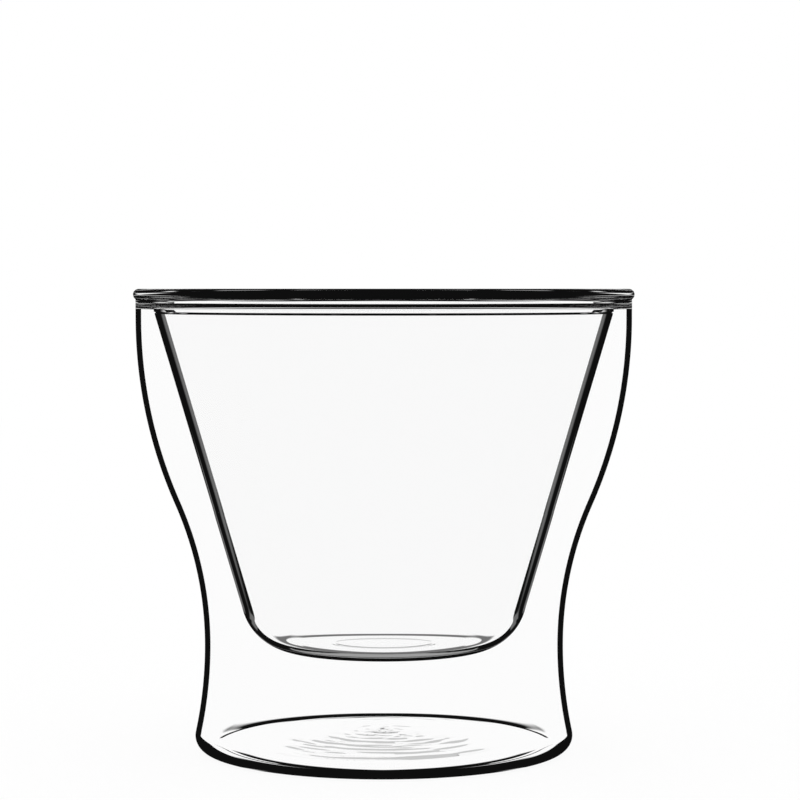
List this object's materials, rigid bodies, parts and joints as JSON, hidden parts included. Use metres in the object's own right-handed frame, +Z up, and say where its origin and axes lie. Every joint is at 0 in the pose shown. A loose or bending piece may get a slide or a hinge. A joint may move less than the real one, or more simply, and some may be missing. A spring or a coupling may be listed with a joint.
{
  "type": "double walled glass cup",
  "caption": "Clear double walled glass cup: a conical inner cup fused at the rim into a waisted outer shell, closed by a domed base.",
  "frame": {"origin": "on the cup's axis, on the surface that it stands on", "axes": "+Z up along the cup's axis of revolution, from the foot to the rim; X and Y are any two level directions"},
  "size_m": [0.09, 0.09, 0.0832],
  "materials": {
    "shell_glass": "clear, fire polished",
    "cup_glass": "clear, fire polished",
    "rim_glass": "clear, fused and fire polished",
    "base_glass": "clear, with faint flow rings",
    "seal_glass": "clear, melted drop"
  },
  "bodies": {
    "root": {"outer_shell": "shell_glass", "inner_cup": "cup_glass", "rim_bead": "rim_glass", "base_disc": "base_glass", "vent_seal": "seal_glass"}
  },
  "joints": []
}
